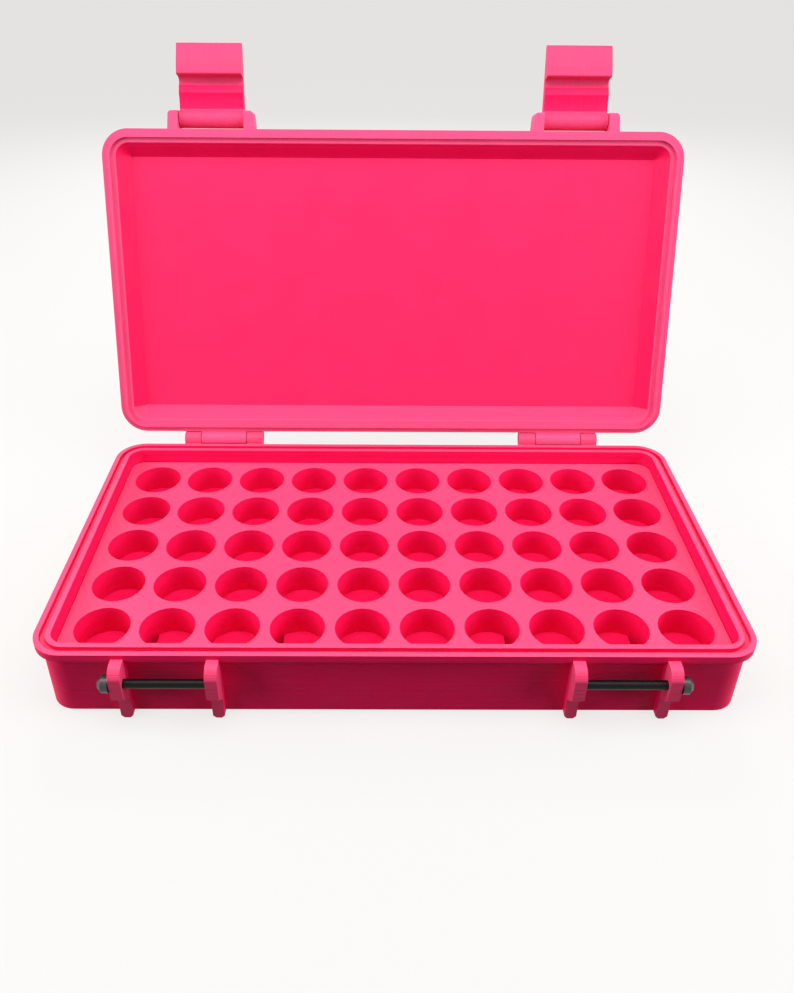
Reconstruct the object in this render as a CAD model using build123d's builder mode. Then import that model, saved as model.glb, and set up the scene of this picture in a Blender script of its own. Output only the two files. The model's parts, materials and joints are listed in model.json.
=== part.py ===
from build123d import *

import os
from math import cos, radians, sin

# Wells in the tray
well_pitch = 21.0
well_diameter = 18.0
well_sides = 24
well_depth = 10.4
wells_along = 10
wells_across = 5
slotted_columns = (1, 3, 6, 8)
slot_offset = 5.4
slot_depth = 3.4
slot_floor = 1.0

# Body and rim
field_margin = 2.4
outer_lip = 1.7
groove_width = 1.8
inner_lip = 1.75
groove_depth = 1.6
rim_corner = 10.5
flange_proud = 2.1
flange_height = 2.7
body_height = 26.6
tray_drop = 5.8
floor_thickness = 3.0
foot_chamfer = 0.8

# Tray insert
tray_clearance = 0.25
skirt_thickness = 2.4
cross_rib_thickness = 2.0
cross_rib_columns = (-2, 2)

# Lid
lid_height = 8.4
parting_gap = 0.3
tongue_clearance = 0.3
tongue_height = 1.2
dish_margin = 5.05
dish_depth = 5.0
dish_slope = 46.0
lid_edge_chamfer = 1.5
open_angle = 105.7

# Hinges
feature_offset = 70.2
axis_setback = 3.2
axis_lift = 0.8
knuckle_radius = 2.9
knuckle_width = 6.6
knuckle_gap = 0.3
lid_knuckle_width = 18.6
heel_length = 2.4
gusset_drop = 1.0
gusset_root = 0.5
web_root = 1.3

# Pins and fits
pin_diameter = 3.0
pin_skin = 1.2
pin_recess = 0.6
running_fit = 0.10
fixed_fit = 0.03

# Latches and the ears that carry them
latch_width = 24.6
latch_side_gap = 0.3
latch_lean = 5.0
latch_barrel_radius = 3.4
latch_length = 27.2
latch_tab_thickness = 2.5
latch_corner = 0.7
arm_crease = 9.0
arm_waist_reach = 6.4
arm_waist_thickness = 3.55
arm_land_reach = 9.6
arm_land_thickness = 3.9
hook_rise = 2.7
hook_undercut = 0.8
hook_brow_reach = 4.4
hook_brow_thickness = 5.6
hook_brow_round = 9.0
pocket_wrap = 30
pivot_forward = 3.8
pivot_height = 5.0
lid_ear_thickness = 3.55
lid_ear_radius = 3.0
lid_ear_round = 0.9
lid_ear_corner = 1.6
lid_ear_splay = 0.9
ear_root = 3.0

# Catch ears and catch screws
catch_forward = 3.4
catch_drop = 8.3
catch_gap = 0.35
catch_ear_thickness = 3.8
catch_ear_top = 1.7
catch_ear_crown = 4.0
catch_ear_reach = 5.8
catch_ear_end = 12.9
catch_ear_round = 0.9
catch_rib_proud = 0.6
catch_rib_corner = 1.0
screw_diameter = 2.9
screw_head_diameter = 5.6
screw_head_height = 3.3
screw_head_chamfer = 1.2
screw_head_gap = 0.4
screw_length = 32.0
screw_socket = 2.0
screw_socket_depth = 1.6
sides = ((-1, "left"), (1, "right"))

# Sizes that follow from the ones above
cavity_length = wells_along * well_pitch + 2 * field_margin
cavity_width = wells_across * well_pitch + 2 * field_margin
band = outer_lip + groove_width + inner_lip
rim_length = cavity_length + 2 * band
rim_width = cavity_width + 2 * band
cavity_corner = rim_corner - band
body_length = rim_length - 2 * flange_proud
body_width = rim_width - 2 * flange_proud
body_corner = rim_corner - flange_proud
flange_bottom = body_height - flange_height
tray_top = body_height - tray_drop
tray_slab = well_depth + slot_depth + slot_floor
rim_front = -rim_width / 2
wall_front = -body_width / 2
hinge_y = rim_width / 2 + axis_setback
hinge_z = body_height + axis_lift
closed_rim = body_height + parting_gap
catch_y = rim_front - catch_forward
catch_z = body_height - catch_drop
catch_radius = screw_diameter / 2
pin_radius = pin_diameter / 2
ear_inner = feature_offset - latch_width / 2 - latch_side_gap
ear_outer = feature_offset + latch_width / 2 + latch_side_gap
screw_seat = ear_outer + catch_ear_thickness + screw_head_gap
screw_end = screw_seat - screw_length
hinge_half = lid_knuckle_width / 2 + knuckle_gap + knuckle_width

# The lid, drawn closed about the hinge axis and swung open with this frame
lid_frame = Plane(
    origin=(0, hinge_y, hinge_z),
    x_dir=(1, 0, 0),
    z_dir=(0, sin(radians(open_angle)), cos(radians(open_angle))),
)
lid_rim = closed_rim - hinge_z
lid_front = rim_front - hinge_y
lid_back = -axis_setback
lid_wall_front = lid_front + flange_proud
pivot_y = lid_front - pivot_forward
pivot_z = lid_rim + pivot_height
catch_from_pivot = pivot_z + hinge_z - catch_z
catch_toward_case = catch_y - (pivot_y + hinge_y)


def case_side(x):
    """Plane across the case at x, drawn in y and z."""
    return Plane.YZ.offset(x)


def lid_side(x):
    """Plane across the lid at x, drawn in the closed lid's y and z about the hinge axis."""
    return Plane(origin=(x, hinge_y, hinge_z), x_dir=lid_frame.y_dir, z_dir=(1, 0, 0))


def latch_side(x):
    """Plane across a latch at x: along the arm from the pivot, and toward the case."""
    pivot = lid_frame.from_local_coords(Vector(x, pivot_y, pivot_z))
    tilt = radians(open_angle - 90 - latch_lean)
    return Plane(origin=pivot, x_dir=(0, sin(tilt), cos(tilt)), z_dir=(1, 0, 0))


def start(side, inner, outer):
    """Lower x of a span that lies between two distances from the middle."""
    return min(side * inner, side * outer)


def round_section(plane, centre, radius):
    """Circle on a side plane, for a bar or a bore along x."""
    with BuildSketch(plane) as section:
        with Locations(centre):
            Circle(radius)
    return section.sketch


def outline(frame, centre, length, width, corner):
    """Rounded rectangle about the middle of the case."""
    with BuildSketch(frame) as section:
        with Locations(centre):
            RectangleRounded(length, width, corner)
    return section.sketch


def wall_outline(frame, centre):
    """Outer outline of the walls."""
    return outline(frame, centre, body_length, body_width, body_corner)


def rim_outline(frame, centre, inset=0):
    """Outer outline of the rim, or one inside it."""
    return outline(
        frame, centre, rim_length - 2 * inset, rim_width - 2 * inset, rim_corner - inset
    )


def catch_ear_profile(x):
    """Side profile of a catch ear and of the rib that carries it down to the underside."""
    lean = catch_ear_reach - catch_rib_proud
    crown = (rim_front - catch_ear_reach, body_height - catch_ear_top)
    chin = (rim_front - catch_ear_reach, body_height - catch_ear_end)
    with BuildSketch(case_side(x)) as section:
        with BuildLine():
            Polyline(
                (wall_front + ear_root, body_height - catch_ear_top),
                crown,
                chin,
                (rim_front - catch_rib_proud, body_height - catch_ear_end - lean),
                (rim_front - catch_rib_proud, 0),
                (wall_front + ear_root, 0),
                close=True,
            )
        make_face()
        fillet(vertices().sort_by_distance(crown)[0], radius=catch_ear_crown)
        fillet(vertices().sort_by_distance(chin)[0], radius=catch_ear_round)
    return section.sketch


def catch_ear(x):
    """Catch ear with its rib, rounded at the foot as seen from the front."""
    height = body_height - catch_ear_top
    with BuildPart() as ear:
        with BuildSketch(Plane.XZ.offset(-wall_front - ear_root)):
            with Locations((x + catch_ear_thickness / 2, height / 2)):
                Rectangle(catch_ear_thickness, height)
            chamfer(vertices().group_by(Axis.Y)[0], length=catch_rib_corner)
        extrude(amount=wall_front + ear_root - rim_front + catch_ear_reach)
        extrude(catch_ear_profile(x), amount=catch_ear_thickness, mode=Mode.INTERSECT)
    return ear.part


def case_knuckle(x):
    """Section of an outer hinge knuckle, with the flat heel that the open lid rests on."""
    turn = radians(open_angle)
    rest_y, rest_z = -cos(turn) * knuckle_radius, sin(turn) * knuckle_radius
    heel_y = rest_y + sin(turn) * heel_length
    heel_z = rest_z + cos(turn) * heel_length
    foot = heel_y + axis_setback + flange_proud + gusset_root
    points = [
        (0, 0),
        (rest_y, rest_z),
        (heel_y, heel_z),
        (heel_y, -gusset_drop),
        (heel_y - foot, -gusset_drop - foot),
        (heel_y - foot, -axis_lift),
        (-knuckle_radius, -axis_lift),
        (-knuckle_radius, 0),
    ]
    with BuildSketch(Plane(origin=(x, hinge_y, hinge_z), x_dir=(0, 1, 0), z_dir=(1, 0, 0))) as section:
        with BuildLine():
            Polyline(*points, close=True)
        make_face()
        Circle(knuckle_radius)
    return section.sketch


def lid_ear_profile(x):
    """Side profile of a latch ear, flush with the lid's rim and rounded about the pivot."""
    root = lid_wall_front + ear_root
    tip = pivot_y - lid_ear_radius
    with BuildSketch(lid_side(x)) as section:
        with BuildLine():
            Polyline(
                (root, lid_rim),
                (tip, lid_rim),
                (tip, pivot_z),
                (pivot_y, pivot_z),
                (pivot_y, pivot_z + lid_ear_radius),
                (root, pivot_z + lid_ear_radius),
                close=True,
            )
        make_face()
        with Locations((pivot_y, pivot_z)):
            Circle(lid_ear_radius)
        fillet(vertices().sort_by_distance((tip, lid_rim))[0], radius=lid_ear_round)
    return section.sketch


def lid_ear(latch_end, away):
    """Latch ear, splayed at the lid and rounded at the corner that points away from the latch."""
    root = lid_wall_front + ear_root
    tip = pivot_y - lid_ear_radius
    far_end = latch_end + away * lid_ear_thickness
    foot_end = far_end + away * lid_ear_splay
    with BuildPart() as ear:
        with BuildSketch(lid_frame.offset(lid_rim)):
            with BuildLine():
                Polyline((latch_end, root), (latch_end, tip), (far_end, tip), (foot_end, root), close=True)
            make_face()
            fillet(vertices().sort_by_distance((far_end, tip))[0], radius=lid_ear_corner)
        extrude(amount=pivot_z + lid_ear_radius - lid_rim)
        profile = lid_ear_profile(min(latch_end, foot_end))
        extrude(profile, amount=abs(foot_end - latch_end), mode=Mode.INTERSECT)
    return ear.part


def lid_knuckle(x):
    """Section of the middle hinge knuckle and of the web that joins it to the lid."""
    with BuildSketch(lid_side(x)) as section:
        Circle(knuckle_radius)
        with Locations(((lid_back - web_root) / 2, (lid_rim + knuckle_radius) / 2)):
            Rectangle(web_root - lid_back, knuckle_radius - lid_rim)
    return section.sketch


# Case body
middle = (0, 0)
flange_start = Plane.XY.offset(flange_bottom - flange_proud)
with BuildPart() as case_body:
    extrude(wall_outline(Plane.XY, middle), amount=body_height)
    chamfer(faces().sort_by(Axis.Z)[0].edges(), length=foot_chamfer)
    loft([wall_outline(flange_start, middle), rim_outline(Plane.XY.offset(flange_bottom), middle)])
    extrude(rim_outline(Plane.XY.offset(flange_bottom), middle), amount=flange_height)

    # Four catch ears in front and four hinge knuckles behind
    for side, hand in sides:
        for near in (ear_inner - catch_ear_thickness, ear_outer):
            add(catch_ear(start(side, near, near + catch_ear_thickness)))
        for near in (feature_offset - hinge_half, feature_offset + hinge_half - knuckle_width):
            extrude(case_knuckle(start(side, near, near + knuckle_width)), amount=knuckle_width)

    # Cavity and the groove round the rim
    extrude(
        rim_outline(Plane.XY.offset(floor_thickness), middle, band),
        amount=body_height,
        mode=Mode.SUBTRACT,
    )
    groove_top = Plane.XY.offset(body_height)
    groove = rim_outline(groove_top, middle, outer_lip) - rim_outline(groove_top, middle, band - inner_lip)
    extrude(groove, amount=-groove_depth, mode=Mode.SUBTRACT)

    # Bores for the catch screws, as deep as the screws reach, and blind ones for the hinge pins
    for side, hand in sides:
        near = screw_end
        far = ear_outer + catch_ear_thickness
        screw_plane = case_side(start(side, near, far))
        bore = round_section(screw_plane, (catch_y, catch_z), catch_radius + fixed_fit)
        extrude(bore, amount=far - near, mode=Mode.SUBTRACT)
        near = feature_offset - hinge_half + pin_skin
        far = feature_offset + hinge_half
        bore = round_section(case_side(start(side, near, far)), (hinge_y, hinge_z), pin_radius + fixed_fit)
        extrude(bore, amount=far - near, mode=Mode.SUBTRACT)


# Tray of wells
with BuildPart() as well_tray:
    with BuildSketch(Plane.XY.offset(floor_thickness)):
        RectangleRounded(
            cavity_length - 2 * tray_clearance,
            cavity_width - 2 * tray_clearance,
            cavity_corner - tray_clearance,
        )
    extrude(amount=tray_top - floor_thickness)

    # Hollow underside with a skirt and two cross ribs
    with BuildSketch(Plane.XY.offset(floor_thickness)):
        Rectangle(
            cavity_length - 2 * tray_clearance - 2 * skirt_thickness,
            cavity_width - 2 * tray_clearance - 2 * skirt_thickness,
        )
        for column in cross_rib_columns:
            with Locations((column * well_pitch, 0)):
                Rectangle(cross_rib_thickness, cavity_width, mode=Mode.SUBTRACT)
    extrude(amount=tray_top - tray_slab - floor_thickness, mode=Mode.SUBTRACT)

    # Wells
    with BuildSketch(Plane.XY.offset(tray_top)):
        with GridLocations(well_pitch, well_pitch, wells_along, wells_across):
            RegularPolygon(well_diameter / 2, well_sides)
    extrude(amount=-well_depth, mode=Mode.SUBTRACT)

    # Deeper slots in the floors of four front wells, on the side away from the middle
    for column in slotted_columns:
        well_x = (column - (wells_along - 1) / 2) * well_pitch
        well_y = -(wells_across - 1) / 2 * well_pitch
        outward = 1 if well_x > 0 else -1
        with BuildSketch(Plane.XY.offset(tray_top - well_depth)):
            with Locations((well_x, well_y)):
                RegularPolygon(well_diameter / 2, well_sides)
            with Locations((well_x + outward * (slot_offset + well_diameter / 2), well_y)):
                Rectangle(well_diameter, well_diameter, mode=Mode.INTERSECT)
        extrude(amount=-slot_depth, mode=Mode.SUBTRACT)


# Lid
lid_centre = (0, -hinge_y)
lid_rim_plane = lid_frame.offset(lid_rim)
flange_end = lid_frame.offset(lid_rim + flange_height)
wall_start = lid_frame.offset(lid_rim + flange_height + flange_proud)
tongue_outer = outer_lip + tongue_clearance
tongue_inner = outer_lip + groove_width - tongue_clearance
with BuildPart() as lid:
    extrude(wall_outline(lid_rim_plane, lid_centre), amount=lid_height)
    top = faces().sort_by(Axis(lid_frame.origin, lid_frame.z_dir))[-1]
    chamfer(top.edges(), length=lid_edge_chamfer)
    extrude(rim_outline(lid_rim_plane, lid_centre), amount=flange_height)
    loft([rim_outline(flange_end, lid_centre), wall_outline(wall_start, lid_centre)])

    # Latch ears in front and a middle knuckle behind for each latch and hinge
    for side, hand in sides:
        add(lid_ear(side * ear_inner, -side))
        add(lid_ear(side * ear_outer, side))
        extrude(lid_knuckle(side * feature_offset - lid_knuckle_width / 2), amount=lid_knuckle_width)

    # Dish on the inside
    dish_mouth = rim_outline(lid_rim_plane, lid_centre, dish_margin)
    extrude(dish_mouth, amount=dish_depth, taper=dish_slope, mode=Mode.SUBTRACT)

    # Tongue that drops into the groove
    tongue = rim_outline(lid_rim_plane, lid_centre, tongue_outer)
    tongue -= rim_outline(lid_rim_plane, lid_centre, tongue_inner)
    extrude(tongue, amount=-tongue_height)

    # Bores for the latch pins, and running bores for the hinge pins
    for side, hand in sides:
        near = ear_inner - lid_ear_thickness + pin_skin
        far = ear_outer + lid_ear_thickness
        bore = round_section(lid_side(start(side, near, far)), (pivot_y, pivot_z), pin_radius + fixed_fit)
        extrude(bore, amount=far - near, mode=Mode.SUBTRACT)
        knuckle = lid_side(side * feature_offset - lid_knuckle_width / 2)
        bore = round_section(knuckle, (0, 0), pin_radius + running_fit)
        extrude(bore, amount=lid_knuckle_width, mode=Mode.SUBTRACT)


def finger_latch(side):
    """Finger latch: barrel, hollowed arm, pocket for the screw, hook and sloping tab."""
    back = -latch_barrel_radius
    pocket = catch_radius + catch_gap
    hook_face = catch_from_pivot + pocket
    nose = (hook_face + hook_undercut, catch_toward_case + hook_rise)
    brow = (hook_face + hook_brow_reach, back + hook_brow_thickness)
    tip = (latch_length, back + latch_tab_thickness)
    crease = (
        latch_barrel_radius * cos(radians(arm_crease)),
        latch_barrel_radius * sin(radians(arm_crease)),
    )
    waist = (arm_waist_reach, back + arm_waist_thickness)
    land = (arm_land_reach, back + arm_land_thickness)
    pocket_edge = (
        catch_from_pivot - pocket * cos(radians(pocket_wrap)),
        catch_toward_case - pocket * sin(radians(pocket_wrap)),
    )
    pocket_floor = (catch_from_pivot, catch_toward_case - pocket)
    pocket_end = (hook_face, catch_toward_case)
    with BuildPart() as arm:
        with BuildSketch(latch_side(side * feature_offset - latch_width / 2)):
            with BuildLine():
                Polyline(crease, (0, 0), (0, back), (latch_length, back), tip, brow, nose, pocket_end)
                ThreePointArc(pocket_end, pocket_floor, pocket_edge)
                Line(pocket_edge, land)
                ThreePointArc(land, waist, crease)
            make_face()
            fillet(vertices().sort_by_distance(brow)[0], radius=hook_brow_round)
            for corner in (nose, tip, (latch_length, back)):
                fillet(vertices().sort_by_distance(corner)[0], radius=latch_corner)
            Circle(latch_barrel_radius)
            Circle(pin_radius + running_fit, mode=Mode.SUBTRACT)
        extrude(amount=latch_width)
    return arm


def long_screw(side):
    """Long screw across the catch ears, with a crowned head on the outer side."""
    seat = side * screw_seat
    crown = seat + side * screw_head_height
    with BuildPart() as screw:
        with BuildSketch(Plane(origin=(seat, catch_y, catch_z), z_dir=(side, 0, 0))):
            Circle(screw_head_diameter / 2)
        extrude(amount=screw_head_height)
        circles = edges().filter_by(GeomType.CIRCLE)
        crown_edge = circles.sort_by_distance((crown, catch_y, catch_z))[0]
        chamfer(crown_edge, length=screw_head_chamfer)
        with BuildSketch(Plane(origin=(seat, catch_y, catch_z), z_dir=(-side, 0, 0))):
            Circle(catch_radius)
        extrude(amount=screw_length)
        with BuildSketch(Plane(origin=(crown, catch_y, catch_z), z_dir=(side, 0, 0))):
            RegularPolygon(screw_socket / 2, 6, major_radius=False)
        extrude(amount=-screw_socket_depth, mode=Mode.SUBTRACT)
    return screw


def plain_pin(plane, centre, length):
    """Plain pin, cut square at both ends."""
    with BuildPart() as bar:
        extrude(round_section(plane, centre, pin_radius), amount=length)
    return bar


def latch_pivot_pin(side):
    """Pin of a latch, sunk in the outer ear and blind in the inner one."""
    near = ear_inner - lid_ear_thickness + pin_skin
    far = ear_outer + lid_ear_thickness - pin_recess
    return plain_pin(lid_side(start(side, near, far)), (pivot_y, pivot_z), far - near)


def case_hinge_pin(side):
    """Pin of a hinge, sunk in the outer knuckle and blind in the inner one."""
    near = feature_offset - hinge_half + pin_skin
    far = feature_offset + hinge_half - pin_recess
    return plain_pin(case_side(start(side, near, far)), (hinge_y, hinge_z), far - near)


# One STEP file for each piece
os.makedirs("parts", exist_ok=True)
case_body.part.label = "case_body"
export_step(case_body.part, "parts/case_body.step")
well_tray.part.label = "well_tray"
export_step(well_tray.part, "parts/well_tray.step")
lid.part.label = "lid"
export_step(lid.part, "parts/lid.step")

for side, hand in sides:
    latch = finger_latch(side)
    latch.part.label = f"latch_{hand}"
    export_step(latch.part, f"parts/latch_{hand}.step")

    latch_pin = latch_pivot_pin(side)
    latch_pin.part.label = f"latch_pin_{hand}"
    export_step(latch_pin.part, f"parts/latch_pin_{hand}.step")

    catch_screw = long_screw(side)
    catch_screw.part.label = f"catch_screw_{hand}"
    export_step(catch_screw.part, f"parts/catch_screw_{hand}.step")

    hinge_pin = case_hinge_pin(side)
    hinge_pin.part.label = f"hinge_pin_{hand}"
    export_step(hinge_pin.part, f"parts/hinge_pin_{hand}.step")
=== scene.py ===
# %% [markdown]
# # A printed storage case, dressed and lit
# The object is a shallow case printed in pink plastic. Its lid stands open behind it, with two finger
# latches at the top, and a tray of fifty round wells fills the body. Two long black screws cross the
# front, where the latches hook on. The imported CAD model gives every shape, so this lesson adds what it
# lacks: the finish of printed plastic and of steel, soft light, and the camera.

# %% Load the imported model
import json
import math

import bpy
from mathutils import Matrix, Vector


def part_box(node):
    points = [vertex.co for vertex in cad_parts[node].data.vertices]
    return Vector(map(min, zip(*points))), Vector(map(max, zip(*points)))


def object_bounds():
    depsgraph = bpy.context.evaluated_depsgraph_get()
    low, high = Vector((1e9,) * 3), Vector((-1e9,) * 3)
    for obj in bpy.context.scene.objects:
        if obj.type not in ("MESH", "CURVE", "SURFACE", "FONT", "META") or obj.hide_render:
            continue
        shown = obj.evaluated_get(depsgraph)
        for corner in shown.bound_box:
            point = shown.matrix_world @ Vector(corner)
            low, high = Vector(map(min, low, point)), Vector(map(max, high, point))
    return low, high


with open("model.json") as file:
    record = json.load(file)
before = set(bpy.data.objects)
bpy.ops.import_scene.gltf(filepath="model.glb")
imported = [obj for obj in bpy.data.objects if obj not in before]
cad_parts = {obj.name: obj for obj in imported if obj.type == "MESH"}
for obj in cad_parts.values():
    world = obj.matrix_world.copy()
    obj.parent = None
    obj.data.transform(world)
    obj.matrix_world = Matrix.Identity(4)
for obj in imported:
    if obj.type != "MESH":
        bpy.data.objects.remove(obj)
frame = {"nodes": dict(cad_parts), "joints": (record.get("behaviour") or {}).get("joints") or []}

cad_low, cad_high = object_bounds()
nodes = frame["nodes"]
print("pieces:", sorted(nodes))
print("CAD box in metres:", tuple(cad_low), tuple(cad_high))

# %% [markdown]
# ## Sizes and colours
# Everything is in metres, so real sizes in millimetres are multiplied by one constant. Colours are
# written as the sRGB hex values that an eye or a colour picker gives. Blender computes in linear light,
# so one function turns each hex value to linear. Doing it in one place keeps the values readable.

# %% Units and colours
MM = 0.001


def linear(hex_colour):
    """Linear red, green, blue and alpha of an sRGB hex colour."""
    channels = [int(hex_colour[i:i + 2], 16) / 255 for i in (1, 3, 5)]
    curve = [c / 12.92 if c <= 0.04045 else ((c + 0.055) / 1.055) ** 2.4 for c in channels]
    return (*curve, 1.0)


print("mid grey in linear light:", linear("#808080"))

# %% [markdown]
# ## A helper for shader nodes
# A material is a small graph. Writing three lines for each node hides the idea, so one function adds a
# node, sets its properties and sockets, and links whatever is given as an output of another node. A
# socket is given by its name, as in Base_Color=, or by its number, as in _0=.

# %% One function that adds a node


def add_node(tree, kind, settings=None, **inputs):
    """Add a shader node, set its properties, and set or link its inputs by name or index."""
    node = tree.nodes.new(kind)
    for key, value in (settings or {}).items():
        setattr(node, key, value)
    for key, value in inputs.items():
        place = int(key[1:]) if key.startswith("_") else key.replace("_", " ")
        socket = node.inputs[place]
        if isinstance(value, bpy.types.NodeSocket):
            tree.links.new(value, socket)
        else:
            socket.default_value = value
    return node


def new_material(name):
    """An empty material and its node tree, with only the output node."""
    material = bpy.data.materials.new(name)
    material.use_nodes = True
    material.node_tree.nodes.clear()
    output = add_node(material.node_tree, "ShaderNodeOutputMaterial")
    return material, material.node_tree, output


# %% [markdown]
# ## Patterns that follow the piece
# Print lines and rubbed places both depend on how far a point lies along some direction of the piece:
# up the layers, across the beads, or out past the rim. The distance is a dot product of the place with
# that direction, so two small functions cover every pattern here, one for a wave and one for a band.

# %% A wave and a band along a direction


def distance_along(tree, place, direction):
    """How far a place lies along a direction, in metres."""
    along = add_node(tree, "ShaderNodeVectorMath", {"operation": "DOT_PRODUCT"}, _0=place, _1=direction)
    return along.outputs["Value"]


def wave_along(tree, place, direction, length):
    """A sine wave of the place along a direction, with the given wavelength."""
    turns = add_node(
        tree, "ShaderNodeMath", {"operation": "MULTIPLY"},
        _0=distance_along(tree, place, direction), _1=2 * math.pi / length,
    )
    wave = add_node(tree, "ShaderNodeMath", {"operation": "SINE"}, _0=turns.outputs["Value"])
    return wave.outputs["Value"]


def band_along(tree, place, direction, low, high):
    """One between two distances along a direction, and zero outside them."""
    middle, half = (low + high) / 2, (high - low) / 2
    band = add_node(
        tree, "ShaderNodeMath", {"operation": "COMPARE"},
        _0=distance_along(tree, place, direction), _1=middle, _2=half,
    )
    return band.outputs["Value"]


# %% [markdown]
# ## The relief of a print
# The shells are polylactide, laid down by a hot nozzle. A print is a stack of layers, so upright walls
# carry fine level lines, and flat faces carry the parallel beads of the last layer, laid on a slant.
#
# The lines could be an image, or real grooves in the mesh. A sine of the distance along the printing
# direction is exact, costs nothing, and turns with the piece. No printer feeds quite evenly, so some
# layers bulge more than their neighbours: a noise that only changes with the height adds these bands.

# %% Layers and beads
# Real layers are 0.2 mm high and beads 0.4 mm wide, which is finer than a pixel of this picture. Both
# are drawn two to three times as coarse so that they show, and faint enough to stay a texture.
LAYER_HEIGHT = 0.6 * MM
BEAD_WIDTH = 0.9 * MM
LAYER_DEPTH = 0.016 * MM
BEAD_DEPTH = 0.012 * MM
BULGE_HEIGHT = 1.6 * MM  # a bulge takes in about eight real layers
BULGE_DEPTH = 0.17 * MM
LEVEL_ENOUGH = 0.9  # cosine of the slope up to which a face shows beads
print("layers every", LAYER_HEIGHT / MM, "mm, beads every", BEAD_WIDTH / MM, "mm")

# %% Level faces and uneven layers


def level_faces(tree, where, build_direction):
    """One on faces that lie along the layers, and zero on walls and slopes."""
    facing = distance_along(tree, where.outputs["Normal"], build_direction)
    either_way = add_node(tree, "ShaderNodeMath", {"operation": "ABSOLUTE"}, _0=facing)
    level = add_node(
        tree, "ShaderNodeMath", {"operation": "GREATER_THAN"},
        _0=either_way.outputs["Value"], _1=LEVEL_ENOUGH,
    )
    return level.outputs["Value"]


def bulging_layers(tree, place, build_direction):
    """Height of a wall's surface where the layers are fed unevenly."""
    bulge = add_node(
        tree, "ShaderNodeTexNoise", {"noise_dimensions": "1D"},
        W=distance_along(tree, place, build_direction), Scale=1 / BULGE_HEIGHT, Detail=2.0,
    )
    height = add_node(
        tree, "ShaderNodeMath", {"operation": "MULTIPLY"}, _0=bulge.outputs[0], _1=BULGE_DEPTH
    )
    return height.outputs["Value"]


# %% The relief of both


def print_relief(tree, place, level, build_direction, bead_direction, bare_normal=None):
    """Bumped normal with layer lines on walls and beads on level faces."""
    layers = wave_along(tree, place, build_direction, LAYER_HEIGHT)
    beads = wave_along(tree, place, bead_direction, BEAD_WIDTH)
    line = add_node(
        tree, "ShaderNodeMath", {"operation": "MULTIPLY_ADD"},
        _0=layers, _1=LAYER_DEPTH, _2=bulging_layers(tree, place, build_direction),
    )
    bead = add_node(tree, "ShaderNodeMath", {"operation": "MULTIPLY"}, _0=beads, _1=BEAD_DEPTH)
    height = add_node(
        tree, "ShaderNodeMix", {"data_type": "FLOAT"},
        _0=level, _2=line.outputs["Value"], _3=bead.outputs["Value"],
    )
    bump = add_node(
        tree, "ShaderNodeBump", Strength=1.0, Distance=1.0, Height=height.outputs["Result"]
    )
    if bare_normal:
        tree.links.new(bare_normal, bump.inputs["Normal"])
    return bump.outputs["Normal"]


# %% [markdown]
# ## Round wells
# The wells are round holes, but the model gives each of them 24 flat sides, so that fifty wells stay
# light. The flats would catch the light one by one. Subdividing the mesh would cost many thousands of
# faces, and a bevel in the shader would also soften the sharp edge of each hole.
#
# The tray repeats itself every 21 mm, so the shader can work out where the axis of the nearest well
# is. On a well's wall the true normal points straight at that axis, and everywhere else the mesh's own
# normal stays. Ten wells lie side by side, so the middle of the tray falls between two of them. Five
# lie front to back, so that way the pattern is moved by half a pitch.

# %% Sizes of the wells
WELL_PITCH = 21.0 * MM
WELL_RADIUS = 9.0 * MM
FLAT_SAG = 0.2 * MM  # how far a flat side may lie from the true circle
HALF_PITCH_BACK = (0, 0.5, 0)
WELL_AXIS = (0.5, 0.5, 0)  # in each cell of the pattern, in pitches
print("wells:", WELL_PITCH / MM, "mm apart, radius", WELL_RADIUS / MM, "mm")

# %% Normals of the wells' walls


def round_walls(tree, place, level):
    """World normal that is round on the walls of the wells."""
    per_pitch = 1 / WELL_PITCH
    cell = add_node(
        tree, "ShaderNodeVectorMath", {"operation": "MULTIPLY_ADD"},
        _0=place, _1=(per_pitch, per_pitch, 0), _2=HALF_PITCH_BACK,
    )
    inside = add_node(
        tree, "ShaderNodeVectorMath", {"operation": "FRACTION"}, _0=cell.outputs["Vector"]
    )
    inward = add_node(
        tree, "ShaderNodeVectorMath", {"operation": "SUBTRACT"},
        _0=WELL_AXIS, _1=inside.outputs["Vector"],
    )
    radius = add_node(
        tree, "ShaderNodeVectorMath", {"operation": "LENGTH"}, _0=inward.outputs["Vector"]
    )
    on_circle = add_node(
        tree, "ShaderNodeMath", {"operation": "COMPARE"},
        _0=radius.outputs["Value"], _1=WELL_RADIUS * per_pitch, _2=FLAT_SAG * per_pitch,
    )
    on_wall = add_node(
        tree, "ShaderNodeMath", {"operation": "GREATER_THAN"}, _0=on_circle.outputs["Value"], _1=level
    )
    world = add_node(
        tree, "ShaderNodeVectorTransform",
        {"vector_type": "NORMAL", "convert_from": "OBJECT", "convert_to": "WORLD"},
        _0=inward.outputs["Vector"],
    )
    own = add_node(tree, "ShaderNodeNewGeometry")
    normal = add_node(
        tree, "ShaderNodeMix", {"data_type": "VECTOR"},
        _0=on_wall.outputs["Value"], _4=own.outputs["Normal"], _5=world.outputs["Vector"],
    )
    unit = add_node(
        tree, "ShaderNodeVectorMath", {"operation": "NORMALIZE"}, _0=normal.outputs[1]
    )
    return unit.outputs["Vector"]
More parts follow.
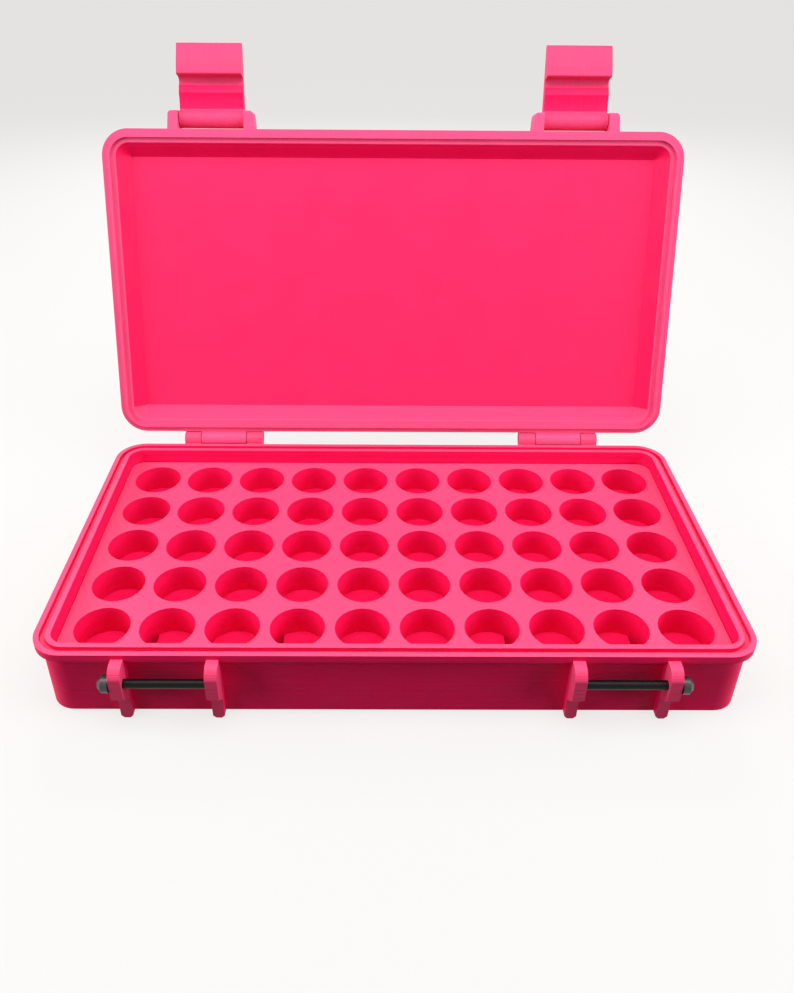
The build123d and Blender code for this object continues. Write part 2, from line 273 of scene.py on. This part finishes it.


# %% [markdown]
# ## Printed plastic
# Neon pink polylactide is bright and strongly coloured. In the wells and hollows light meets the
# pigment again and again, so they look deep and red. The open top faces, rims, ears and tabs are
# painted paler: a painted sheen, which stands in for the white light that these lit faces catch.
#
# One colour alone looks like a toy rendering of the real thing. So the plastic has a deep colour and a
# paler one, a painted sheen, mixed by a mask of places, and a faint cloudiness from the melt. The lid's
# rim gets the palest painted sheen and the latches the least, so each has its own paler tone. The finish
# is satin, with the refractive index of polylactide, but its fine ridges scatter most of the shine.

# %% Colours and finish of the plastic
DEEP_PINK = "#EA0C55"
# The deep pink is the plastic's own colour. The paler tones below are painted sheen.
SHEEN_PINK = "#E74772"
RIM_SHEEN_PINK = "#E95282"
LATCH_SHEEN_PINK = "#E54070"
PLASTIC_IOR = 1.46
SATIN_ROUGHNESS = (0.50, 0.60)
SCUFFED_SHINE = 0.2  # share of the shine that the ridges leave, where 0.5 is all of it
CLOUD_SIZE = 12 * MM
CLOUD_SHADE = 0.94
NOISE_RANGE = (0.3, 0.7)  # a noise has nearly all its values in here
for colour_name, pink in (("deep", DEEP_PINK), ("sheen", SHEEN_PINK), ("rim", RIM_SHEEN_PINK)):
    print(colour_name, "pink in linear light:", [round(channel, 3) for channel in linear(pink)[:3]])


def cloudy_colour(tree, cloud, hex_colour):
    """A colour that the cloudiness of the melt darkens a little."""
    tint = add_node(tree, "ShaderNodeValToRGB", Fac=cloud)
    clear = Vector(linear(hex_colour)[:3])
    tint.color_ramp.elements[0].position = NOISE_RANGE[0]
    tint.color_ramp.elements[0].color = (*(clear * CLOUD_SHADE), 1.0)
    tint.color_ramp.elements[1].position = NOISE_RANGE[1]
    tint.color_ramp.elements[1].color = (*clear, 1.0)
    return tint.outputs["Color"]


# %% Masks of the painted sheen


def largest_of(tree, masks):
    """The largest of several masks."""
    largest = masks[0]
    for mask in masks[1:]:
        either = add_node(tree, "ShaderNodeMath", {"operation": "MAXIMUM"}, _0=largest, _1=mask)
        largest = either.outputs["Value"]
    return largest


def share_of(tree, mask, share):
    """A mask, weakened to a share or by another mask."""
    weaker = add_node(tree, "ShaderNodeMath", {"operation": "MULTIPLY"}, _0=mask, _1=share)
    return weaker.outputs["Value"]


def sheen_place(tree, place, share, *bands):
    """Mask with a share where all of the bands overlap."""
    mask = share
    for direction, low, high in bands:
        mask = share_of(tree, band_along(tree, place, direction, low, high), mask)
    return mask


# %% Printed plastic


def printed_plastic(
    name, sheen_hex, build_direction, bead_direction, sheen_places, level_sheen_places, rounding=None
):
    """Satin printed plastic, painted paler as a sheen by a share in some places, and on the level faces
    of others.
    """
    material, tree, output = new_material(name)
    where = add_node(tree, "ShaderNodeTexCoord")
    place = where.outputs["Object"]
    level = level_faces(tree, where, build_direction)
    masks = [sheen_place(tree, place, *sheen) for sheen in sheen_places]
    masks += [share_of(tree, sheen_place(tree, place, *sheen), level) for sheen in level_sheen_places]
    cloud = add_node(tree, "ShaderNodeTexNoise", Vector=place, Scale=1 / CLOUD_SIZE, Detail=3.0)
    # Where the masks lie, the paler tone is mixed in: a painted sheen.
    colour = add_node(
        tree, "ShaderNodeMix", {"data_type": "RGBA"}, _0=largest_of(tree, masks),
        _6=cloudy_colour(tree, cloud.outputs["Fac"], DEEP_PINK),
        _7=cloudy_colour(tree, cloud.outputs["Fac"], sheen_hex),
    )
    gloss = add_node(
        tree, "ShaderNodeMapRange", _0=cloud.outputs["Fac"], _1=NOISE_RANGE[0], _2=NOISE_RANGE[1],
        _3=SATIN_ROUGHNESS[0], _4=SATIN_ROUGHNESS[1],
    )
    bare_normal = rounding(tree, place, level) if rounding else None
    surface = add_node(
        tree, "ShaderNodeBsdfPrincipled",
        Base_Color=colour.outputs[2], Roughness=gloss.outputs["Result"], IOR=PLASTIC_IOR,
        Specular_IOR_Level=SCUFFED_SHINE,
        Normal=print_relief(tree, place, level, build_direction, bead_direction, bare_normal),
    )
    tree.links.new(surface.outputs["BSDF"], output.inputs["Surface"])
    return material


# %% [markdown]
# ## Which way each piece was printed
# The body and the tray are printed upright. The lid is printed on its outer face, so its layers follow
# the open lid. Each latch is printed on its side, so its layers run across it. The directions could be
# typed in as numbers, but a change of the lid's angle would leave them behind. So they come from the
# joints of the model.

# %% Printing directions
joints = {joint["name"]: joint for joint in frame["joints"]}
open_angle = math.radians(joints["lid_hinge"]["range_deg"][1])
hinge = Vector(joints["lid_hinge"]["pos_m"])
latch_pivot = Vector(joints["left_latch_pivot"]["pos_m"])
up, across, back = Vector((0, 0, 1)), Vector((1, 0, 0)), Vector((0, 1, 0))
lid_normal = Vector((0, math.sin(open_angle), math.cos(open_angle)))
lid_front = Vector((0, -math.cos(open_angle), math.sin(open_angle)))
print("lid opens by", round(math.degrees(open_angle), 1), "degrees")

# %% [markdown]
# ## Where the plastic is painted paler
# The places are measured on the pieces themselves. On the body they are the level faces from the tray's
# top up, the catch ears in front of the rim and the knuckles behind it. On the lid they are the rim
# with its tongue, the latch ears and the knuckles. The panel inside the lid and its lower slope get a
# small share. The paler tone is a painted sheen, lighter where the light falls. On a latch only the
# hollow of the arm keeps its deep colour, a painted shade under the hook.
#
# Painting a mask by hand would break when a size changes. Each place here is a band between two
# distances instead, counted from a joint or from the top of a piece. A share of 1 gives the full painted
# sheen.

# %% Sizes and shares of the painted sheen
FAR = 1.0  # in metres, past any end of the case
SKIN = 0.2 * MM  # keeps a face that lies on the edge of a band clearly in it or out of it
HINGE_SETBACK = 3.2 * MM  # from the body's rim back to the hinge axis
AXIS_ABOVE_RIM = 0.5 * MM  # from the closed lid's rim up to the hinge axis
LID_KNUCKLE_REACH = 3.0 * MM  # from the axis to just short of the lid's rim
LID_INSIDE = 6.0 * MM  # from the lid's rim to just behind its panel
# The dish's lower slope faces up to the light, so it gets a share of painted sheen.
LOWER_SLOPE = (8.2 * MM, 13.4 * MM)  # from the axis, where the dish's lower side starts and ends
# The hollow keeps the deep colour, as painted shade under the hook.
LATCH_HOLLOW = (3.7 * MM, 15.4 * MM)  # from the pivot, along the arm
LATCH_BACK = 3.0 * MM  # from the pivot to just inside the latch's outer face
# Shares of the painted sheen, where 1 is the full paler tone.
EAR_SHARE = 0.8
KNUCKLE_SHARE = 1.0
LID_KNUCKLE_SHARE = 0.6
LID_RIM_SHARE = 0.9
LID_PANEL_SHARE = 0.2
SLOPE_SHARE = 0.5

# %% Painted sheen on the body and the tray
tray_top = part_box("well_tray")[1][2]
rim = hinge.y - HINGE_SETBACK  # the body's rim, as far in front of the middle as behind it
body_sheen = [
    (EAR_SHARE, (-back, rim + SKIN, FAR)),
    (KNUCKLE_SHARE, (back, rim + SKIN, FAR)),
]
body_level_sheen = [(1.0, (up, tray_top - SKIN, FAR))]
print("tray top at", round(tray_top / MM, 2), "mm, rim", round(rim / MM, 2), "mm from the middle")

# %% Painted sheen on the lid and the latches
lid_rim = hinge.dot(lid_normal) - AXIS_ABOVE_RIM
axis = hinge.dot(lid_front)
rim_side = (lid_normal, -FAR, lid_rim + SKIN)
inner_side = (lid_normal, -FAR, lid_rim + LID_INSIDE)
lid_sheen = [
    (LID_RIM_SHARE, rim_side),
    (SLOPE_SHARE, inner_side, (lid_front, axis + LOWER_SLOPE[0], axis + LOWER_SLOPE[1])),
    (1.0, (lid_front, axis + HINGE_SETBACK + 2 * rim - SKIN, FAR)),
    (LID_KNUCKLE_SHARE, (lid_front, -FAR, axis + LID_KNUCKLE_REACH)),
]
lid_level_sheen = [(LID_PANEL_SHARE, inner_side)]

arm_start = latch_pivot.dot(lid_front)
# A latch gets painted sheen everywhere but the hollow of its arm, which stays deep as painted shade.
latch_sheen = [
    (1.0, (lid_front, -FAR, arm_start + LATCH_HOLLOW[0])),
    (1.0, (lid_front, arm_start + LATCH_HOLLOW[1], FAR)),
    (1.0, (back, latch_pivot.y + LATCH_BACK, FAR)),
]
print("lid rim at", round(lid_rim / MM, 2), "mm along the lid's normal")

# %% The printed plastics
slant = (across + back).normalized()
lid_slant = (across + lid_front).normalized()
body_plastic = printed_plastic(
    "polylactide_upright", SHEEN_PINK, up, slant, body_sheen, body_level_sheen
)
tray_plastic = printed_plastic(
    "polylactide_tray", SHEEN_PINK, up, slant, body_sheen, body_level_sheen, round_walls
)
lid_plastic = printed_plastic(
    "polylactide_lid", RIM_SHEEN_PINK, lid_normal, lid_slant, lid_sheen, lid_level_sheen
)
latch_plastic = printed_plastic(
    "polylactide_sideways", LATCH_SHEEN_PINK, across, lid_front, latch_sheen, []
)
plastics = (body_plastic, tray_plastic, lid_plastic, latch_plastic)
print("printed plastics:", [plastic.name for plastic in plastics])

# %% [markdown]
# ## Black oxide steel
# The catch screws are alloy steel with a black oxide finish: a thin skin of magnetite, sealed with oil.
# The skin hides the metal, so the screw is not a mirror but a near-black solid. What shines on it is
# the oil, so the refractive index is that of oil and the light leaves only a thin grey streak.
#
# A thread could be a helix in the mesh. At this distance a wave along the screw looks the same. The
# heads have no thread, and fingers have wiped them dry. They are painted a lighter grey, a painted
# sheen. There the light meets the magnetite itself, whose index of 2.4 gives a broader sheen. Pores
# dull both.

# %% Sizes and finish of the screws
# The real pitch of 0.5 mm is under two pixels, so the thread is drawn coarse enough to show.
THREAD_PITCH = 0.8 * MM
THREAD_DEPTH = 0.03 * MM
THREAD_STRENGTH = 0.6
OIL_FILM_IOR = 1.5
MAGNETITE_IOR = 2.4
DULLED_SHINE = 0.15  # share of the shine that the pores leave, where 0.5 is all of it
OILED_OXIDE = ("#060505", "#121010")
# On the heads a lighter grey is painted in: a painted sheen.
HEAD_SHEEN_OXIDE = ("#181415", "#38302F")
OXIDE_ROUGHNESS = (0.30, 0.42)
WEAR_SIZE = 1.5 * MM
WEAR_RANGE = (0.35, 0.75)
HEAD_HEIGHT = 3.3 * MM  # along the screw
head_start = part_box("catch_screw_right")[1][0] - HEAD_HEIGHT
print("screw heads start", round(head_start / MM, 2), "mm from the middle")

# %% Black oxide steel


def black_oxide(name):
    """Near-black oxidised steel with a thread's ripple along x."""
    material, tree, output = new_material(name)
    place = add_node(tree, "ShaderNodeTexCoord").outputs["Object"]
    from_middle = add_node(
        tree, "ShaderNodeMath", {"operation": "ABSOLUTE"}, _0=distance_along(tree, place, across)
    )
    shank = add_node(
        tree, "ShaderNodeMath", {"operation": "LESS_THAN"},
        _0=from_middle.outputs["Value"], _1=head_start,
    )
    thread = share_of(tree, wave_along(tree, place, across, THREAD_PITCH), shank.outputs["Value"])
    ridge = add_node(tree, "ShaderNodeMath", {"operation": "MULTIPLY"}, _0=thread, _1=THREAD_DEPTH)
    bump = add_node(
        tree, "ShaderNodeBump",
        Strength=THREAD_STRENGTH, Distance=1.0, Height=ridge.outputs["Value"],
    )
    wear = add_node(tree, "ShaderNodeTexNoise", Vector=place, Scale=1 / WEAR_SIZE, Detail=4.0)
    gloss = add_node(
        tree, "ShaderNodeMapRange", _0=wear.outputs["Fac"], _1=WEAR_RANGE[0], _2=WEAR_RANGE[1],
        _3=OXIDE_ROUGHNESS[0], _4=OXIDE_ROUGHNESS[1],
    )
    oiled = add_node(tree, "ShaderNodeValToRGB", Fac=wear.outputs["Fac"])
    # The heads' lighter ramp is a painted sheen.
    head_sheen = add_node(tree, "ShaderNodeValToRGB", Fac=wear.outputs["Fac"])
    for i in (0, 1):
        oiled.color_ramp.elements[i].color = linear(OILED_OXIDE[i])
        head_sheen.color_ramp.elements[i].color = linear(HEAD_SHEEN_OXIDE[i])
    skin = add_node(
        tree, "ShaderNodeMix", {"data_type": "RGBA"},
        _0=shank.outputs["Value"], _6=head_sheen.outputs["Color"], _7=oiled.outputs["Color"],
    )
    index = add_node(
        tree, "ShaderNodeMapRange",
        _0=shank.outputs["Value"], _1=0.0, _2=1.0, _3=MAGNETITE_IOR, _4=OIL_FILM_IOR,
    )
    surface = add_node(
        tree, "ShaderNodeBsdfPrincipled",
        Base_Color=skin.outputs[2], Roughness=gloss.outputs["Result"],
        IOR=index.outputs["Result"], Specular_IOR_Level=DULLED_SHINE,
        Normal=bump.outputs["Normal"],
    )
    tree.links.new(surface.outputs["BSDF"], output.inputs["Surface"])
    return material


screw_steel = black_oxide("black_oxide_steel")
print("screws:", screw_steel.name, "with a thread drawn at", THREAD_PITCH / MM, "mm")

# %% [markdown]
# ## Bright steel pins
# The pins in the hinges and latches are plain drawn steel. Only their sunk ends show. Drawing leaves
# fine scratches along the rod, so the roughness changes round it and hardly along it. Noise that is
# stretched along the rod gives that; a brushed image would show its seam on the round.

# %% Drawn steel
BRIGHT_STEEL = "#C4C2BF"
DRAWN_ROUGHNESS = (0.22, 0.40)
# Real scratches are some hundredths of a millimetre wide, so they are drawn wide enough to show.
SCRATCH_WIDTH = 0.2 * MM
STRETCH = (0.05, 1.0, 1.0)  # twenty times as long as wide


def drawn_steel(name):
    """Bright steel with scratches along x."""
    material, tree, output = new_material(name)
    where = add_node(tree, "ShaderNodeTexCoord")
    stretched = add_node(
        tree, "ShaderNodeVectorMath", {"operation": "MULTIPLY"},
        _0=where.outputs["Object"], _1=STRETCH,
    )
    scratches = add_node(
        tree, "ShaderNodeTexNoise",
        Vector=stretched.outputs["Vector"], Scale=1 / SCRATCH_WIDTH, Detail=3.0,
    )
    gloss = add_node(
        tree, "ShaderNodeMapRange", _0=scratches.outputs["Fac"], _1=NOISE_RANGE[0],
        _2=NOISE_RANGE[1], _3=DRAWN_ROUGHNESS[0], _4=DRAWN_ROUGHNESS[1],
    )
    surface = add_node(
        tree, "ShaderNodeBsdfPrincipled",
        Base_Color=linear(BRIGHT_STEEL), Metallic=1.0, Roughness=gloss.outputs["Result"],
    )
    tree.links.new(surface.outputs["BSDF"], output.inputs["Surface"])
    return material


pin_steel = drawn_steel("drawn_steel")
print("pins:", pin_steel.name)

# %% [markdown]
# ## Dressing the pieces
# Each CAD piece already has its shape and its body to ride on, so it only needs a material. A left and
# a right piece share one finish, so the table below is the whole wardrobe.

# %% Give each piece its finish
finishes = {
    "case_body": body_plastic,
    "well_tray": tray_plastic,
    "lid": lid_plastic,
    "latch": latch_plastic,
    "catch_screw": screw_steel,
    "latch_pin": pin_steel,
    "hinge_pin": pin_steel,
}
for name, piece in nodes.items():
    kind = name.removesuffix("_left").removesuffix("_right")
    piece.data.materials.clear()
    piece.data.materials.append(finishes[kind])
    print(name, "is", finishes[kind].name)

# %% [markdown]
# ## Floor and backdrop
# The case stands on a plain pale floor. A real pale table would throw light up on the front wall, which
# is dark in the photograph. So the floor is pale for what the camera sees, straight or mirrored in
# steel, and dark grey for light that bounces. Most of what the camera sees is an even glow, and the
# rest takes the soft shadow of the case. It is one large plane, with the world behind it in the same
# pale colour.

# %% Material of the floor
PALE = "#E9E8E6"
PALE_GRAIN = "#ECEBEA"
GRAIN_SIZE = 40 * MM
BOUNCE = "#3A3839"
GLOW_SHARE = 0.85  # of the floor's light, the rest shows the shadow
GLOW = 1.1  # a little over 1, because the rest of the floor's light is dimmer


def sees_backdrop(tree):
    """One for light that the camera sees, straight, mirrored or through glass."""
    path = add_node(tree, "ShaderNodeLightPath")
    rays = ("Is Camera Ray", "Is Glossy Ray", "Is Transmission Ray")
    return largest_of(tree, [path.outputs[ray] for ray in rays])


def pale_floor(name):
    """Floor that the camera sees pale, with the shadow of the case, and that bounces less light."""
    material, tree, output = new_material(name)
    seen = sees_backdrop(tree)
    grain = add_node(tree, "ShaderNodeTexNoise", Scale=1 / GRAIN_SIZE, Detail=2.0)
    tone = add_node(
        tree, "ShaderNodeMix", {"data_type": "RGBA"},
        _0=grain.outputs["Fac"], _6=linear(PALE), _7=linear(PALE_GRAIN),
    )
    colour = add_node(
        tree, "ShaderNodeMix", {"data_type": "RGBA"},
        _0=seen, _6=linear(BOUNCE), _7=tone.outputs[2],
    )
    matt = add_node(tree, "ShaderNodeBsdfDiffuse", Color=colour.outputs[2])
    shine = add_node(tree, "ShaderNodeMath", {"operation": "MULTIPLY"}, _0=seen, _1=GLOW)
    glow = add_node(tree, "ShaderNodeEmission", Color=linear(PALE), Strength=shine.outputs["Value"])
    mixed = add_node(
        tree, "ShaderNodeMixShader",
        _0=GLOW_SHARE, _1=matt.outputs["BSDF"], _2=glow.outputs["Emission"],
    )
    tree.links.new(mixed.outputs["Shader"], output.inputs["Surface"])
    return material


floor_material = pale_floor("pale_table")
print("floor material:", floor_material.name)

# %% Floor
FLOOR_SIZE = 12.0  # in metres, so that its edge is far behind the case
half = FLOOR_SIZE / 2
floor_mesh = bpy.data.meshes.new("floor")
corners = [(-half, -half, 0), (half, -half, 0), (half, half, 0), (-half, half, 0)]
floor_mesh.from_pydata(corners, [], [(0, 1, 2, 3)])
floor = bpy.data.objects.new("floor", floor_mesh)
floor.location.z = cad_low.z
floor_mesh.materials.append(floor_material)
bpy.context.scene.collection.objects.link(floor)
print("floor:", FLOOR_SIZE, "m square")

# %% [markdown]
# ## Light
# In the photograph both sides of the wells are bright and their middles dark, so most light came from
# two soft boxes, one on each side. A third box above the case leaves the slope under the lid's far rim
# and the arms below the hooks in shade. A fourth stands behind, for the outer face of the lid, which
# the photograph doesn't show. A faint even world light keeps the shade readable, while mirrored rays
# see the pale world at full strength.

# %% World
WORLD_FILL = 0.10
world = bpy.data.worlds.new("studio")
bpy.context.scene.world = world
world.use_nodes = True
sky = world.node_tree
sky.nodes.clear()
seen = sees_backdrop(sky)
strength = add_node(sky, "ShaderNodeMapRange", _0=seen, _1=0.0, _2=1.0, _3=WORLD_FILL, _4=1.0)
air = add_node(sky, "ShaderNodeBackground", Color=linear(PALE), Strength=strength.outputs["Result"])
sky_output = add_node(sky, "ShaderNodeOutputWorld")
sky.links.new(air.outputs["Background"], sky_output.inputs["Surface"])
print("world:", world.name, "with a fill of", WORLD_FILL)

# %% Soft boxes
# Name, place in metres, width and height in metres, and power in watts
SOFT_BOXES = (
    ("left_box", (-0.50, -0.10, 0.25), (0.5, 0.3), 3.0),
    ("right_box", (0.50, -0.10, 0.25), (0.5, 0.3), 3.0),
    ("top_box", (0.0, -0.08, 0.45), (0.5, 0.2), 1.85),
    ("back_box", (0.0, 0.60, 0.40), (0.6, 0.4), 5.0),
)
CASE_MIDDLE = Vector((0, 0, 20)) * MM
for name, place, (width, height), watts in SOFT_BOXES:
    light = bpy.data.lights.new(name, "AREA")
    light.shape = "RECTANGLE"
    light.size, light.size_y = width, height
    light.energy = watts
    lamp = bpy.data.objects.new(name, light)
    lamp.location = place
    lamp.rotation_euler = (CASE_MIDDLE - Vector(place)).to_track_quat("-Z", "Y").to_euler()
    bpy.context.scene.collection.objects.link(lamp)
    print(name, "has", watts, "W")

# %% [markdown]
# ## Camera
# The camera was found by fitting the wells, both rims and the latches to the photograph. It stands in
# front of the case, about 0.4 m from the hinges, and looks down by about a third of a right angle.
# The picture was cropped after it was taken, so a small shift puts the optical axis back above the
# middle of the frame.

# %% The fitted camera
FRAME_WIDTH, FRAME_HEIGHT = 794, 993  # in pixels
FOCAL_PIXELS = 870.1
AXIS_PIXEL = (381.6, 435.2)  # where the optical axis meets the picture, from its top left
SENSOR = 36.0  # in mm, and free to choose, because the lens is worked out from it
AIM = Vector((-3.9, 77.1, 20.8)) * MM  # a place just behind the hinges
DISTANCE = 383.1 * MM
ELEVATION, YAW, ROLL = 0.5507, 0.0076, -0.0084  # in radians

forward = Vector((
    math.sin(YAW) * math.cos(ELEVATION), math.cos(YAW) * math.cos(ELEVATION), -math.sin(ELEVATION)
))
level_right = Vector((math.cos(YAW), -math.sin(YAW), 0))
level_down = forward.cross(level_right)
right = math.cos(ROLL) * level_right + math.sin(ROLL) * level_down
down = math.cos(ROLL) * level_down - math.sin(ROLL) * level_right
axes = Matrix((right, -down, -forward)).transposed()
print("camera looks down by", round(math.degrees(ELEVATION), 1), "degrees")

# %% Camera
camera_data = bpy.data.cameras.new("camera")
camera_data.sensor_fit = "HORIZONTAL"
camera_data.sensor_width = SENSOR
camera_data.lens = FOCAL_PIXELS / FRAME_WIDTH * SENSOR
camera_data.shift_x = (FRAME_WIDTH / 2 - AXIS_PIXEL[0]) / FRAME_WIDTH
camera_data.shift_y = -(FRAME_HEIGHT / 2 - AXIS_PIXEL[1]) / FRAME_WIDTH
camera = bpy.data.objects.new("camera", camera_data)
camera.matrix_world = Matrix.Translation(AIM - forward * DISTANCE) @ axes.to_4x4()
bpy.context.scene.collection.objects.link(camera)
bpy.context.scene.camera = camera
bpy.context.scene.view_settings.view_transform = "Standard"
print("lens:", round(camera_data.lens, 2), "mm at", tuple(round(v, 3) for v in camera.location))
